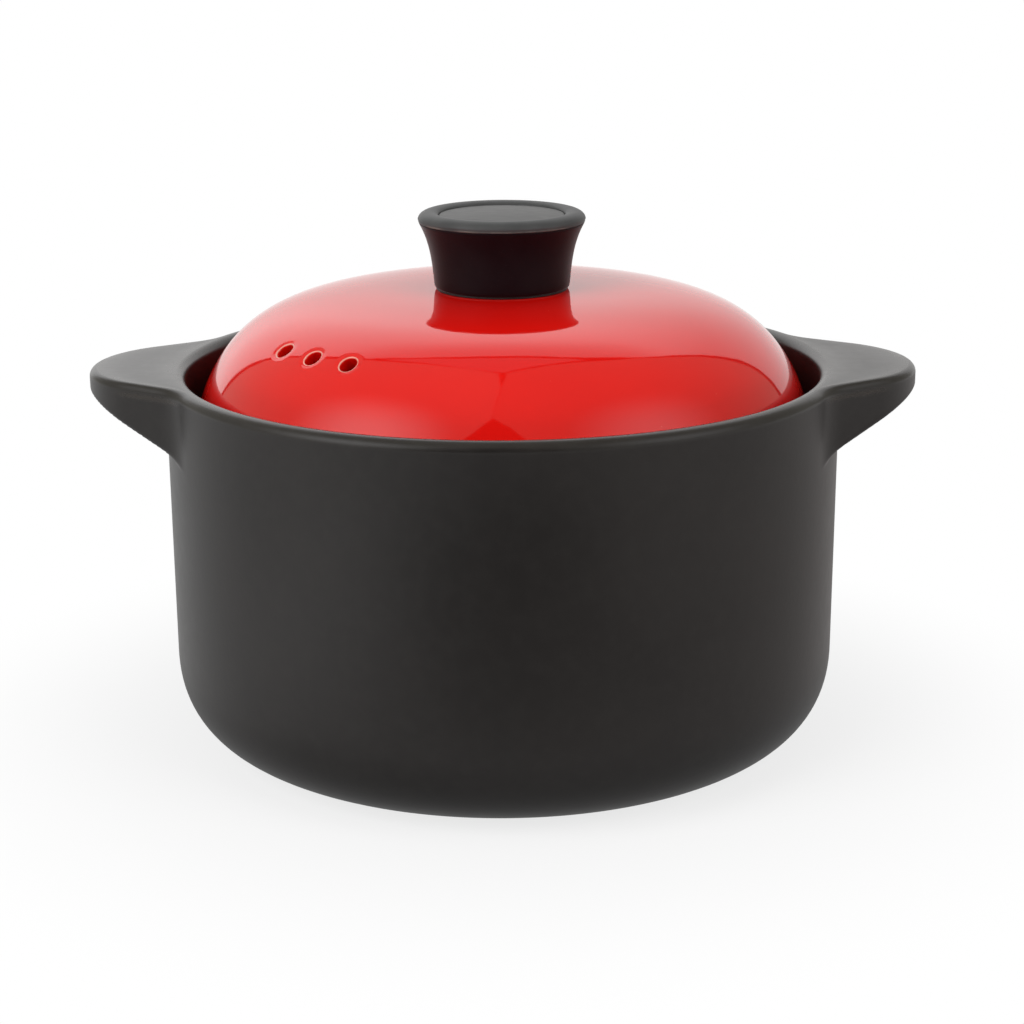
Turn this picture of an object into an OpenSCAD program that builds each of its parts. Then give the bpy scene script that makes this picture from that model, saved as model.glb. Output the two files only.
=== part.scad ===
// A lidded ceramic sand pot: a straight-walled pot with two wing ears, and a domed lid that drops inside
// its rim onto a ledge and carries a screwed-on knob. Millimetres, +Z up. The origin is the centre of the
// face that stands on the table, and the ears point along +X and -X.

/* [Pot wall] */
// Outer diameter of the wall at the rim
pot_d = 196.8; // [170:0.2:240]
// Height from the table to the top of the rim
pot_h = 112; // [95:1:160]
// How much further out the wall stands at the rim than above the rounded bottom corner
wall_lean = 0.4; // [0:0.1:1.2]
// Thickness of the wall above the ledge, which is also the thickness of the full-round rim
rim_t = 5.8; // [4.5:0.1:7]
// Thickness of the wall below the ledge
wall_t = 9.2; // [8.2:0.1:12]
// Thickness of the floor
floor_t = 9.5; // [6:0.1:14]

/* [Pot bottom] */
// How far the rounded bottom corner reaches in from the wall
corner_reach = 31.2; // [20:0.1:40]
// How far the rounded bottom corner reaches up from the table
corner_rise = 29.4; // [18:0.1:40]
// Squareness of the bottom corner: 2 is an ellipse, more is squarer
corner_power = 2.35; // [2:0.05:3.5]
// Size of the rounded corner between the floor and the wall inside
inside_corner = 22; // [12:0.5:30]
// Width of the ring that the pot stands on
foot_w = 12.5; // [8:0.5:18]
// Depth of the recess inside that ring
foot_recess = 1.2; // [0.6:0.1:2]

/* [Ledge] */
// Depth of the ledge below the top of the rim
ledge_depth = 22; // [16:0.5:30]
// How far the ledge's lip stands in from the wall below it
lip_reach = 2.1; // [1:0.1:3]
// Height of the lip's inner face
lip_h = 5; // [3:0.5:8]
// Rounding of the lip's upper edge and of the corner behind the ledge
ledge_round = 0.8; // [0.4:0.1:1.2]

/* [Ears] */
// How far an ear's tip stands out from the wall
ear_reach = 22.7; // [16:0.1:34]
// Radius of an ear's round tip, seen from above
ear_tip_r = 31; // [26:0.5:42]
// Angle of an ear's straight sides to the line through both ears
ear_side_angle = 33.5; // [26:0.5:38]
// Thickness of an ear at its tip
ear_tip_t = 7.1; // [7:0.1:11]
// Slope of an ear's underside
ear_slope = 26; // [16:0.5:32]
// Rounding of an ear's edges
ear_round = 3.2; // [2:0.1:3.4]

/* [Lid] */
// Gap all round between the lid's edge and the wall that it drops into
lid_gap = 1.9; // [1.6:0.1:3]
// Height of the lid's crown above the ledge
lid_rise = 44.1; // [34:0.1:60]
// Thickness of the lid's shell
lid_t = 5; // [4:0.1:7]
// Squareness of the dome in plan reach: 2 is an ellipse, more is squarer
dome_side_power = 4.9; // [2.6:0.05:5.6]
// Squareness of the dome in height: 2 is an ellipse, less brings its shoulder in
dome_top_power = 1.75; // [1.6:0.05:3]
// Gap between the lid's skirt and the ledge's lip
skirt_gap = 1.3; // [0.8:0.1:2]
// Thickness of the skirt
skirt_t = 3.2; // [2.4:0.1:4]
// Depth that the skirt reaches below the ledge
skirt_drop = 4.5; // [3:0.5:8]
// Rounding of the edges of the lid's foot and skirt
foot_round = 0.8; // [0.4:0.1:1.2]

/* [Steam holes] */
// Number of steam holes
vent_count = 3; // [1:1:5]
// Diameter of a steam hole
vent_d = 5; // [3:0.5:7]
// Distance of the steam holes from the lid's middle
vent_r = 73; // [50:1:76]
// Angle between neighbouring steam holes, about the lid's middle
vent_step = 10.4; // [9:0.1:16]
// Direction of the group of steam holes, from +X towards +Y
vent_azimuth = -134.8; // [-180:0.2:180]

/* [Knob] */
// Diameter of the knob's base
knob_base_d = 39.4; // [36:0.2:46]
// Diameter of the knob's body at its head
knob_head_d = 48.2; // [47:0.2:56]
// Height of the knob's body up to the grip ring
knob_body_h = 18.9; // [17:0.1:26]
// Share of the flare that is gathered near the head, from 0 for a straight cone
knob_flare = 0.75; // [0:0.05:0.8]
// Height of the grip ring
ring_h = 3.1; // [3:0.1:5]
// How far the grip ring stands out past the knob's body
ring_proud = 0.2; // [0.1:0.1:0.8]
// Width of the grip ring, seen from above
ring_w = 6; // [4:0.1:7]
// Height of the boss that the top plate is glued to, above the ring's seat
boss_h = 1; // [0.6:0.1:1.6]
// Thickness of the top plate at its edge
plate_t = 1; // [0.8:0.1:1.4]
// Height of the crown of the top plate above its edge
plate_crown = 0.9; // [0.4:0.1:1.6]

/* [Fastening] */
// Nominal diameter of the knob's screw
screw_d = 5; // [4:0.5:6]
// Length of the screw below its head
screw_l = 19.5; // [18:0.5:21]
// Diameter of the screw's head
screw_head_d = 9.6; // [9:0.2:12]
// Height of the screw's head
screw_head_h = 3.2; // [2.6:0.1:3.6]
// Outer diameter of the brass insert
insert_d = 8.4; // [8:0.2:10]
// Length of the brass insert
insert_l = 12; // [9:0.5:13]
// Outer diameter of the steel washer
washer_d = 16; // [14:0.5:18]
// Thickness of the steel washer
washer_t = 1.2; // [0.8:0.1:1.6]
// Outer diameter of the silicone seal inside the lid
seal_d = 18; // [16:0.5:22]
// Thickness of the silicone seal inside the lid
seal_t = 1.5; // [1:0.1:2]
// Thickness of the silicone pad under the knob
gasket_t = 0.6; // [0.4:0.1:1]
// Clearance of the holes that the screw passes through
hole_gap = 1; // [0.6:0.1:1.2]
// Fine clearance between pieces that are fitted into each other
fit_gap = 0.05; // [0.03:0.01:0.08]

/* [Hidden] */

// Fineness of round faces, and of the faces of the ears
round_fn = 96;
ear_fn = 40;
// Fineness of holes, and of the screw's head
hole_fn = 48;
head_fn = 64;
// Number of steps in a small rounding, in the bottom corner, in the dome and in the knob's curves
round_steps = 6;
corner_steps = 16;
dome_steps = 36;
knob_steps = 12;
// Length that a cutting shape runs past what it cuts
past = 5;
// Least step between a curve's last point and the corner that it runs to
least_step = 0.1;

// Pot
pot_r = pot_d / 2;
wall_r = pot_r - wall_t;
gallery_r = pot_r - rim_t;
rim_r = rim_t / 2;
lip_r = wall_r - lip_reach;
ledge_z = pot_h - ledge_depth;
foot_r = pot_r - corner_reach;

// Ears: the tip is a round plate, and the root is a thicker bar inside the wall
ear_tip_x = pot_r + ear_reach;
ear_plate_x = ear_tip_x - ear_tip_r;
// Depth of the root's bars inside the wall's inner face, where the cavity cuts them off again
ear_root_depth = 6;
ear_root_x = wall_r - ear_root_depth;
// Half the width of the ear where its straight sides reach the root
ear_side_offset = ear_plate_x * sin(ear_side_angle) + ear_tip_r;
ear_root_y = (ear_side_offset - ear_root_x * sin(ear_side_angle)) / cos(ear_side_angle);
ear_root_t = ear_tip_t + (ear_tip_x - ear_root_x) * tan(ear_slope);
// The ear's flat top lies this little below the crown of the rim, so that the rim runs through it
ear_drop = 0.1;
ear_top_z = pot_h - ear_drop;

// Lid
lid_r = gallery_r - lid_gap;
skirt_r = lip_r - skirt_gap;
skirt_inner_r = skirt_r - skirt_t;

// Knob and its fastening, stacked up and down from the lid's crown
knob_base_r = knob_base_d / 2;
knob_head_r = knob_head_d / 2;
// Width of the flat seat that shows round the knob's base
seat_margin = 1;
seat_r = knob_base_r + seat_margin;
seat_z = dome_height(seat_r);
knob_z = seat_z + gasket_t;
ring_z = knob_z + knob_body_h;
ring_r = knob_head_r + ring_proud;
boss_r = ring_r - ring_w;
plate_z = ring_z + boss_h;
lid_hole_r = screw_d / 2 + hole_gap;
// Width of the flat that shows round the seal inside the lid
inner_flat_margin = 1.5;
inner_flat_r = seal_d / 2 + inner_flat_margin;
inner_flat_z = seat_z - lid_t;
washer_z = inner_flat_z - seal_t;
head_z = washer_z - washer_t;
screw_tip_z = head_z + screw_l;
insert_hole_r = insert_d / 2 + fit_gap;
// Depth of the blind hole past the insert or the screw's tip, whichever reaches further
insert_hole_spare = 1.2;
insert_hole_l = max(insert_l, screw_tip_z - knob_z) + insert_hole_spare;
// Clearance of the holes in the washer and the seal, and how far the pad stays inside the knob's edge
washer_gap = 0.2;
gasket_inset = 0.5;

// Points of a quarter round about centre c, from angle a to angle b
function arc(c, r, a, b) =
    [for (i = [0:round_steps]) let (t = a + (b - a) * i / round_steps) [c[0] + r * cos(t), c[1] + r * sin(t)]];

// A quarter of a superellipse about centre c, from its lowest point to its outermost one
function corner(c, reach, rise, power) =
    [for (i = [0:corner_steps]) let (t = 90 * i / corner_steps)
        [c[0] + reach * pow(sin(t), 2 / power), c[1] - rise * pow(cos(t), 2 / power)]];

// A point of the dome's outer face: t is 0 at the crown and 90 at the edge
function dome_point(t) =
    [lid_r * pow(sin(t), 2 / dome_side_power), ledge_z + lid_rise * pow(cos(t), 2 / dome_top_power)];

// The angle t of the dome's point at a distance r from the lid's middle, and its height there
function dome_angle(r) = asin(pow(r / lid_r, dome_side_power / 2));
function dome_height(r) = dome_point(dome_angle(r))[1];

// The direction square to the dome's outer face at angle t, pointing out
function dome_normal(t) =
    let (a = dome_point(max(t - 0.5, 0)), b = dome_point(min(t + 0.5, 90)), d = b - a) [-d[1], d[0]] / norm(d);

// The dome's inner face lies lid_t inside the outer one, and stops at the skirt
function inner_dome_point(t) = dome_point(t) - lid_t * dome_normal(t);

// The radius of the knob's body at a share s of its height
function knob_radius(s) =
    knob_base_r + (knob_head_r - knob_base_r) * ((1 - knob_flare) * s + knob_flare * s * s);

// Half of the pot's section with its cavity filled: foot, bottom corner, wall and the rim's outer half
module pot_solid_section() {
    polygon(concat(
        [[0, foot_recess], [foot_r - foot_w - foot_recess, foot_recess], [foot_r - foot_w, 0]],
        corner([foot_r, corner_rise], corner_reach - wall_lean, corner_rise, corner_power),
        arc([pot_r - rim_r, pot_h - rim_r], rim_r, 0, 90),
        [[0, pot_h]]));
}

// Half of the section of the pot's cavity: floor, wall, lip, ledge, upper wall and the rim's inner half
module pot_cavity_section() {
    polygon(concat(
        [[0, floor_t]],
        corner([wall_r - inside_corner, floor_t + inside_corner], inside_corner, inside_corner, corner_power),
        [[wall_r, ledge_z - lip_h - lip_reach], [lip_r, ledge_z - lip_h]],
        arc([lip_r + ledge_round, ledge_z - ledge_round], ledge_round, 180, 90),
        arc([gallery_r - ledge_round, ledge_z + ledge_round], ledge_round, -90, 0),
        arc([gallery_r + rim_r, pot_h - rim_r], rim_r, 180, 90),
        [[gallery_r + rim_r, pot_h + past], [0, pot_h + past]]));
}

// One ear, pointing along +X. It runs on through the wall, and the cavity cuts off what is inside.
module ear() {
    hull() {
        translate([ear_plate_x, 0, 0])
            rotate_extrude($fn = ear_fn * 2)
                ear_edge_section(ear_tip_r, ear_tip_t);
        for (side = [-1, 1])
            translate([ear_root_x, side * (ear_root_y - ear_round), 0])
                rotate_extrude($fn = ear_fn / 2)
                    ear_edge_section(ear_round, ear_root_t);
    }
}

// Half of the section of a plate with a round edge: its radius and its thickness below the ear's top
module ear_edge_section(r, t) {
    polygon(concat(
        [[0, ear_top_z - t]],
        arc([r - ear_round, ear_top_z - t + ear_round], ear_round, -90, 0),
        arc([r - ear_round, ear_top_z - ear_round], ear_round, 0, 90),
        [[0, ear_top_z]]));
}

module pot_body() {
    color([0.20, 0.19, 0.18])
    difference() {
        union() {
            rotate_extrude($fn = round_fn) pot_solid_section();
            ear();
            mirror([1, 0, 0]) ear();
        }
        rotate_extrude($fn = round_fn) pot_cavity_section();
    }
}

// Half of the lid's section: the flat seat of the knob, the dome, the foot, the skirt and the inner face
module lid_section() {
    seat_t = dome_angle(seat_r);
    foot_t = acos(pow(foot_round / lid_rise, dome_top_power / 2));
    outer = [for (i = [0:dome_steps - 1]) dome_point(seat_t + (foot_t - seat_t) * i / dome_steps)];
    inner = [for (i = [dome_steps:-1:0])
        let (p = inner_dome_point(foot_t * i / dome_steps))
            if (p[0] < skirt_inner_r - least_step && p[0] > inner_flat_r && p[1] < inner_flat_z - least_step)
                p];
    polygon(concat(
        [[0, seat_z]],
        outer,
        arc([lid_r - foot_round, ledge_z + foot_round], foot_round, 0, -90),
        [[skirt_r, ledge_z]],
        arc([skirt_r - foot_round, ledge_z - skirt_drop + foot_round], foot_round, 0, -90),
        arc([skirt_inner_r + foot_round, ledge_z - skirt_drop + foot_round], foot_round, -90, -180),
        [[skirt_inner_r, inner[0][1]]],
        inner,
        [[inner_flat_r, inner_flat_z], [0, inner_flat_z]]));
}

// The steam holes are drilled square to the dome
module steam_holes() {
    hole_t = dome_angle(vent_r);
    tilt = atan2(dome_normal(hole_t)[0], dome_normal(hole_t)[1]);
    for (i = [0:vent_count - 1])
        rotate([0, 0, vent_azimuth + (i - (vent_count - 1) / 2) * vent_step])
            translate([vent_r, 0, dome_point(hole_t)[1]])
                rotate([0, tilt, 0])
                    cylinder(d = vent_d, h = 4 * lid_t, center = true, $fn = hole_fn);
}

module lid() {
    color([0.85, 0.12, 0.10])
    difference() {
        rotate_extrude($fn = round_fn) lid_section();
        translate([0, 0, inner_flat_z - past])
            cylinder(r = lid_hole_r, h = lid_t + 2 * past, $fn = hole_fn);
        steam_holes();
    }
}

// The knob's body is a flared turning with a boss on top and a blind hole for the insert below
module knob_body() {
    flare = [for (i = [0:knob_steps]) [knob_radius(i / knob_steps), knob_z + knob_body_h * i / knob_steps]];
    color([0.16, 0.10, 0.11])
    difference() {
        rotate_extrude($fn = round_fn)
            polygon(concat(
                [[0, knob_z]],
                flare,
                [[boss_r - fit_gap, ring_z], [boss_r - fit_gap, plate_z], [0, plate_z]]));
        translate([0, 0, knob_z - past])
            cylinder(r = insert_hole_r, h = insert_hole_l + past, $fn = hole_fn);
    }
}

// The grip ring is a soft ring with a round top. The outer round is a quarter of an ellipse from the
// ring's edge up to its crest, and the inner one runs from the crest down to the lip round the top plate.
module knob_grip_ring() {
    crest_share = 0.55;
    lip_share = 0.6;
    edge_h = 0.4;
    crest_r = ring_r - ring_w * crest_share;
    edge_z = ring_z + edge_h;
    lip_z = ring_z + ring_h * lip_share;
    crest_z = ring_z + ring_h;
    color([0.27, 0.28, 0.28])
    rotate_extrude($fn = round_fn)
        polygon(concat(
            [[boss_r, ring_z], [ring_r - ring_proud, ring_z]],
            [for (i = [0:knob_steps]) let (t = 90 * i / knob_steps)
                [crest_r + (ring_r - crest_r) * cos(t), edge_z + (crest_z - edge_z) * sin(t)]],
            [for (i = [1:knob_steps]) let (t = 90 + 90 * i / knob_steps)
                [crest_r + (crest_r - boss_r) * cos(t), lip_z + (crest_z - lip_z) * sin(t)]]));
}

// The top plate is a thin disc, crowned in the middle and glued to the boss
module knob_top_plate() {
    plate_r = boss_r - fit_gap;
    color([0.42, 0.42, 0.42])
    rotate_extrude($fn = round_fn)
        polygon(concat(
            [[0, plate_z], [plate_r, plate_z]],
            [for (i = [0:knob_steps]) let (s = 1 - i / knob_steps)
                [plate_r * s, plate_z + plate_t + plate_crown * (1 - s * s)]]));
}

// The insert is a brass bush whose bore takes the screw
module knob_insert() {
    color([0.78, 0.62, 0.30])
    translate([0, 0, knob_z])
        difference() {
            cylinder(d = insert_d, h = insert_l, $fn = hole_fn);
            translate([0, 0, -past])
                cylinder(r = screw_d / 2 + fit_gap, h = insert_l + 2 * past, $fn = hole_fn);
        }
}

// The screw has a domed head below the washer, with a cross recess. Shank and head are one turning.
module knob_screw() {
    screw_r = screw_d / 2;
    head_r = screw_head_d / 2;
    head_edge_h = 0.8;
    tip_bevel = 0.6;
    slot_w = 1.2;
    slot_l = screw_head_d * 0.55;
    slot_depth = screw_head_h * 0.5;
    edge_z = head_z - head_edge_h;
    head_end_z = head_z - screw_head_h;
    color([0.72, 0.72, 0.74])
    difference() {
        rotate_extrude($fn = head_fn)
            polygon(concat(
                [[0, screw_tip_z], [screw_r - tip_bevel, screw_tip_z], [screw_r, screw_tip_z - tip_bevel],
                    [screw_r, head_z], [head_r, head_z]],
                [for (i = [0:round_steps]) let (t = 90 * i / round_steps)
                    [head_r * cos(t), edge_z - (edge_z - head_end_z) * sin(t)]]));
        for (turn = [0, 90])
            rotate([0, 0, turn])
                translate([0, 0, head_end_z])
                    cube([slot_l, slot_w, slot_depth * 2], center = true);
    }
}

// A flat ring: outer diameter, hole radius, thickness and the height of its lower face
module flat_ring(d, hole_r, t, z) {
    translate([0, 0, z])
        difference() {
            cylinder(d = d, h = t, $fn = round_fn);
            translate([0, 0, -past])
                cylinder(r = hole_r, h = t + 2 * past, $fn = hole_fn);
        }
}

module screw_washer() {
    color([0.72, 0.72, 0.74])
    flat_ring(washer_d, screw_d / 2 + washer_gap, washer_t, head_z);
}

module inner_seal() {
    color([0.55, 0.55, 0.55])
    flat_ring(seal_d, screw_d / 2 + washer_gap, seal_t, washer_z);
}

module knob_gasket() {
    color([0.12, 0.12, 0.12])
    flat_ring(knob_base_d - 2 * gasket_inset, lid_hole_r, gasket_t, seat_z);
}

pot_body();
lid();
knob_body();
knob_grip_ring();
knob_top_plate();
knob_insert();
knob_screw();
screw_washer();
inner_seal();
knob_gasket();
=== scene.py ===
"""Looks of a lidded ceramic sand pot: a charcoal pot with two wing ears, and a red domed lid with a knob.

Sizes are in millimetres up to the point where a mesh is made, apart from those of the light tent and the
lamps, which are in metres. +Z is up. The pot stands on z = 0 with its ears along X, and its front faces -Y.
"""
import math

import bmesh
import bpy
from mathutils import Euler, Matrix, Vector


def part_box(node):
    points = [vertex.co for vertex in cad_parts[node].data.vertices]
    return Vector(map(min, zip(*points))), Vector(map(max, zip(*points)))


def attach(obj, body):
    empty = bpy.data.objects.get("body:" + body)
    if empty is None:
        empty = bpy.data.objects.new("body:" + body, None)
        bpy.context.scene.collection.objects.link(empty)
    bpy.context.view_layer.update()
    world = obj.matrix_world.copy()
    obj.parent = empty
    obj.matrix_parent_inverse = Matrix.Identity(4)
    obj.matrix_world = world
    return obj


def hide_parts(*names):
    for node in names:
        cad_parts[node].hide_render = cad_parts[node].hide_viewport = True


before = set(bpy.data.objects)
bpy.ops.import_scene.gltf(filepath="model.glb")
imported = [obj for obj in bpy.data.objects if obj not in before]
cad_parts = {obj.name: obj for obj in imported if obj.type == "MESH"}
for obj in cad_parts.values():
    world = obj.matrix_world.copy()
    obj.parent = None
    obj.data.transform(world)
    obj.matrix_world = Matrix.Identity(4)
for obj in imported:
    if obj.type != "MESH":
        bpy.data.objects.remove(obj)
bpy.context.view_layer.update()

MM = 0.001


def corners(node):
    """The lowest and the highest corner of a node of the frame, in millimetres."""
    low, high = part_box(node)
    return Vector(low) / MM, Vector(high) / MM


# Main sizes, from the frame
POT_TOP = corners("pot_body")[1]
WALL_R = POT_TOP.y
RIM_Z = POT_TOP.z
EAR_TIP_X = POT_TOP.x
LID_LOW, LID_HIGH = corners("lid")
LID_R = LID_HIGH.x
SEAT_Z = LID_HIGH.z
BODY_LOW, BODY_HIGH = corners("knob_body")
RING_LOW, RING_HIGH = corners("knob_grip_ring")
PLATE_LOW, PLATE_HIGH = corners("knob_top_plate")
INSERT_HIGH = corners("knob_insert")[1]
SEAL_LOW, SEAL_HIGH = corners("inner_seal")
WASHER_LOW, WASHER_HIGH = corners("screw_washer")
GASKET_LOW, GASKET_HIGH = corners("knob_gasket")

# Pot: wall, rim, ledge, floor and foot, with bare clay up to a small height
RIM_T = 5.8
WALL_T = 9.2
FLOOR_T = 9.5
LEDGE_DEPTH = 22
LIP_REACH = 2.1
LIP_H = 5
LEDGE_ROUND = 0.8
WALL_LEAN = 0.4
CORNER_REACH = 31.2
CORNER_RISE = 29.4
CORNER_POWER = 2.35
INSIDE_CORNER = 22
FOOT_W = 12.5
FOOT_RECESS = 1.2
FOOT_ROUND = 0.5
BARE_H = 0.6

# Ears: a round tip, straight sides and a sloping underside that blend into the wall
EAR_TIP_R = 31
EAR_SIDE = math.radians(33.5)
EAR_SLOPE = math.radians(25.8)
EAR_KEEL_REACH = 12.3
EAR_ROUND = 2.4
EAR_KEEL_BLEND = 1.6
EAR_WALL_BLEND = 3.7
EAR_TOP_BLEND = 3.9
EAR_INNER_ROUND = 2.7

# How far from its axis an ear widens the rim, and over what angle that fades
EAR_END = math.radians(36)
EAR_FADE = math.radians(24)

# A paler streak just below each ear's rounded edge, between two angles from its axis
STREAK_START = math.radians(11)
STREAK_END = math.radians(25)
STREAK_FADE = math.radians(4)
STREAK_DROP = 0.9
STREAK_W = 1.2
STREAK_LEVEL = 2.4

# Rows of the pot's mesh: heights on the plain wall, the depth below the rim from which they are fine for
# the ears, and how far the flat crest stays below the solid's top
WALL_ROWS = (34, 42, 50, 58, 64, 70, 75, 80, 84)
FINE_DEPTH = 26
CREST_SAG = 0.004

# Radii and a height that follow from these
FOOT_R = WALL_R - CORNER_REACH
GALLERY_R = WALL_R - RIM_T
INNER_R = WALL_R - WALL_T
LIP_R = INNER_R - LIP_REACH
LEDGE_Z = RIM_Z - LEDGE_DEPTH

# Lid: dome, skirt and steam holes
LID_RISE = 44.1
LID_T = 5
DOME_SIDE_POWER = 4.9
DOME_TOP_POWER = 1.75
SKIRT_GAP = 1.3
SKIRT_T = 3.2
SKIRT_R = LIP_R - SKIRT_GAP
SKIRT_IN_R = SKIRT_R - SKIRT_T
SKIRT_Z = LID_LOW.z
LID_EDGE_ROUND = 0.8
SEAT_R = 20.7
LID_HOLE_R = 3.5
LID_HOLE_EDGE = 0.4
INNER_FLAT_R = 10.5
INNER_FLAT_Z = SEAT_Z - LID_T
VENT_COUNT = 3
VENT_R = 2.5
VENT_DISTANCE = 73
VENT_STEP = 10.4
VENT_AZIMUTH = -134.8
VENT_LIP = 0.5
VENT_DISH = 0.17
VENT_DISH_R = 4.3

# The square of fine mesh round each steam hole: cells along a side, and half its side
PATCH_CELLS = 14
PATCH_HALF = 5.3

# Knob: the flared body, the ring and the plate in its head, and the fit of the screw
KNOB_BASE_R = 19.65
KNOB_CONE = 1.7
KNOB_FLARE = 2.75
KNOB_FLARE_POWER = 3.3
KNOB_EDGE_ROUND = 0.7
KNOB_HOLE_SPARE = 1.2
RING_W = 6
RING_CREST_SHARE = 0.55
RING_LIP_SHARE = 0.6
RING_EDGE_H = 0.75
RING_SEAM_H = 0.6
PLATE_EDGE_H = 1.0
PLATE_ROUND = 0.45
SCREW_R = 2.5
SCREW_PLAY = 0.2
FIT_GAP = 0.05

# Rounded edges of the pad and the two washers
PAD_ROUND = 0.25
SEAL_ROUND = 0.4
WASHER_ROUND = 0.3


# Shapes

def soft_min(a, b, k):
    """The lower of two values, rounded off over a width k where they meet."""
    near = max(k - abs(a - b), 0) / k
    return min(a, b) - near * near * k / 4


def soft_max(a, b, k):
    """The higher of two values, rounded off in the same way."""
    return -soft_min(-a, -b, k)


def ease(x):
    """0 below 0, 1 above 1 and a smooth step between."""
    x = min(max(x, 0), 1)
    return x * x * (3 - 2 * x)


def between(a, b, count):
    """count values from a to b, both ends in."""
    return [a + (b - a) * i / (count - 1) for i in range(count)]


def arc(centre_r, centre_z, radius, start, end, count):
    """Points (r, z) of an arc, with its angles in degrees."""
    turns = [math.radians(a) for a in between(start, end, count)]
    return [(centre_r + radius * math.cos(a), centre_z + radius * math.sin(a)) for a in turns]


def squarish(centre_r, centre_z, reach, rise, power, count):
    """A quarter of a superellipse, from its lowest point to its outermost one."""
    turns = [math.radians(a) for a in between(0, 90, count)]
    return [(centre_r + reach * math.sin(a) ** (2 / power), centre_z - rise * math.cos(a) ** (2 / power))
            for a in turns]


def in_scene(name, data):
    """A new object in the scene, for a mesh, a light or a camera."""
    made = bpy.data.objects.new(name, data)
    bpy.context.scene.collection.objects.link(made)
    return made


def from_mesh(name, mesh):
    """An object from an editable mesh, which is used up."""
    data = bpy.data.meshes.new(name)
    mesh.to_mesh(data)
    mesh.free()
    return in_scene(name, data)


class Skin:
    """A mesh made of rings of points, one after another."""

    def __init__(self, marks=()):
        self.mesh = bmesh.new()
        self.marks = {mark: self.mesh.verts.layers.float.new(mark) for mark in marks}

    def point(self, place, **marks):
        vert = self.mesh.verts.new(Vector(place) * MM)
        for mark, value in marks.items():
            vert[self.marks[mark]] = value
        return vert

    def band(self, ring, following, left_open=()):
        """Faces between two rings of as many points each, apart from those that are left open."""
        for i in range(len(ring)):
            if i not in left_open:
                after = (i + 1) % len(ring)
                self.mesh.faces.new((ring[i], ring[after], following[after], following[i]))

    def fan(self, ring, pole, flip=False):
        """Triangles from a ring to one point."""
        for i in range(len(ring)):
            after = (i + 1) % len(ring)
            trio = (ring[after], ring[i], pole) if flip else (ring[i], ring[after], pole)
            self.mesh.faces.new(trio)

    def piece(self, name):
        bmesh.ops.recalc_face_normals(self.mesh, faces=self.mesh.faces)
        for face in self.mesh.faces:
            face.smooth = True
        return from_mesh(name, self.mesh)


def stands_for(piece, body, node):
    """The piece rides on a body and replaces a node of the frame."""
    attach(piece, body)
    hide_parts(node)
    return piece


def on_axis(angle, r, z):
    """The place of a point (r, z) of a section, turned to an angle in radians."""
    return r * math.cos(angle), r * math.sin(angle), z


def lathe(name, section, steps=144, marks=(), marking=None):
    """A turned piece from a section of points (r, z). A point with r = 0 is a pole, and a section without
    poles is closed into a loop. marking gives the marks of a point (r, z)."""
    skin = Skin(marks)
    angles = [2 * math.pi * i / steps for i in range(steps)]
    rings = []
    for r, z in section:
        noted = marking(r, z) if marking else {}
        if r == 0:
            rings.append(skin.point((0, 0, z), **noted))
        else:
            rings.append([skin.point(on_axis(a, r, z), **noted) for a in angles])
    for ring, following in zip(rings, rings[1:]):
        if isinstance(following, list) and isinstance(ring, list):
            skin.band(ring, following)
        elif isinstance(ring, list):
            skin.fan(ring, following)
        else:
            skin.fan(following, ring, flip=True)
    if isinstance(rings[0], list) and isinstance(rings[-1], list):
        skin.band(rings[-1], rings[0])
    return skin.piece(name)


# The pot

def ear_reach(angle, depth):
    """How far out an ear stands at an angle from its own axis, at a depth below the rim."""
    plate_x = EAR_TIP_X - EAR_TIP_R
    side_offset = plate_x * math.sin(EAR_SIDE) + EAR_TIP_R
    side_start = math.atan2(EAR_TIP_R * math.cos(EAR_SIDE), plate_x + EAR_TIP_R * math.sin(EAR_SIDE))
    if angle < side_start:
        plan = plate_x * math.cos(angle) + math.sqrt(EAR_TIP_R ** 2 - (plate_x * math.sin(angle)) ** 2)
    else:
        plan = side_offset / math.sin(min(angle + EAR_SIDE, math.pi / 2))
    keel = (EAR_TIP_X + EAR_KEEL_REACH - depth / math.tan(EAR_SLOPE)) / max(math.cos(angle), 0.2)
    rise = max(1 - depth / EAR_ROUND, 0)
    return soft_min(plan, keel, EAR_KEEL_BLEND) - EAR_ROUND * (1 - math.sqrt(1 - rise * rise))


def outer_reach(angle, depth):
    """The outer radius of the pot's wall with its ears, at a depth below the rim."""
    rim_r = RIM_T / 2
    rise = max(1 - depth / rim_r, 0)
    wall = WALL_R - rim_r * (1 - math.sqrt(1 - rise * rise)) - WALL_LEAN * depth / (RIM_Z - CORNER_RISE)
    blend = EAR_WALL_BLEND + (EAR_TOP_BLEND - EAR_WALL_BLEND) * max(1 - depth / (3 * EAR_ROUND), 0)
    return soft_max(wall, ear_reach(angle, depth), blend)


def angle_to_ear(angle):
    """The angle between a direction and the nearer ear's axis."""
    turned = abs(angle) % math.pi
    return min(turned, math.pi - turned)


def marked(points, edge=0.0, bare=0.0):
    """Points (r, z) of the pot's section as (r, z, edge, bare)."""
    return [(r, z, edge, bare) for r, z in points]


def pot_underside():
    """From the middle of the underside over the ring of bare clay that the pot stands on."""
    foot_in = FOOT_R - FOOT_W
    points = marked([(r, FOOT_RECESS) for r in (12, 30, foot_in - 6)])
    foot = arc(foot_in - 2 * FOOT_ROUND, FOOT_RECESS - FOOT_ROUND, FOOT_ROUND, 90, 0, 4)
    foot += arc(foot_in, FOOT_ROUND, FOOT_ROUND, 180, 270, 4)
    foot += [(r, 0) for r in between(foot_in + 2, FOOT_R - 2, 4)]
    return points + marked(foot, bare=1.0)


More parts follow.
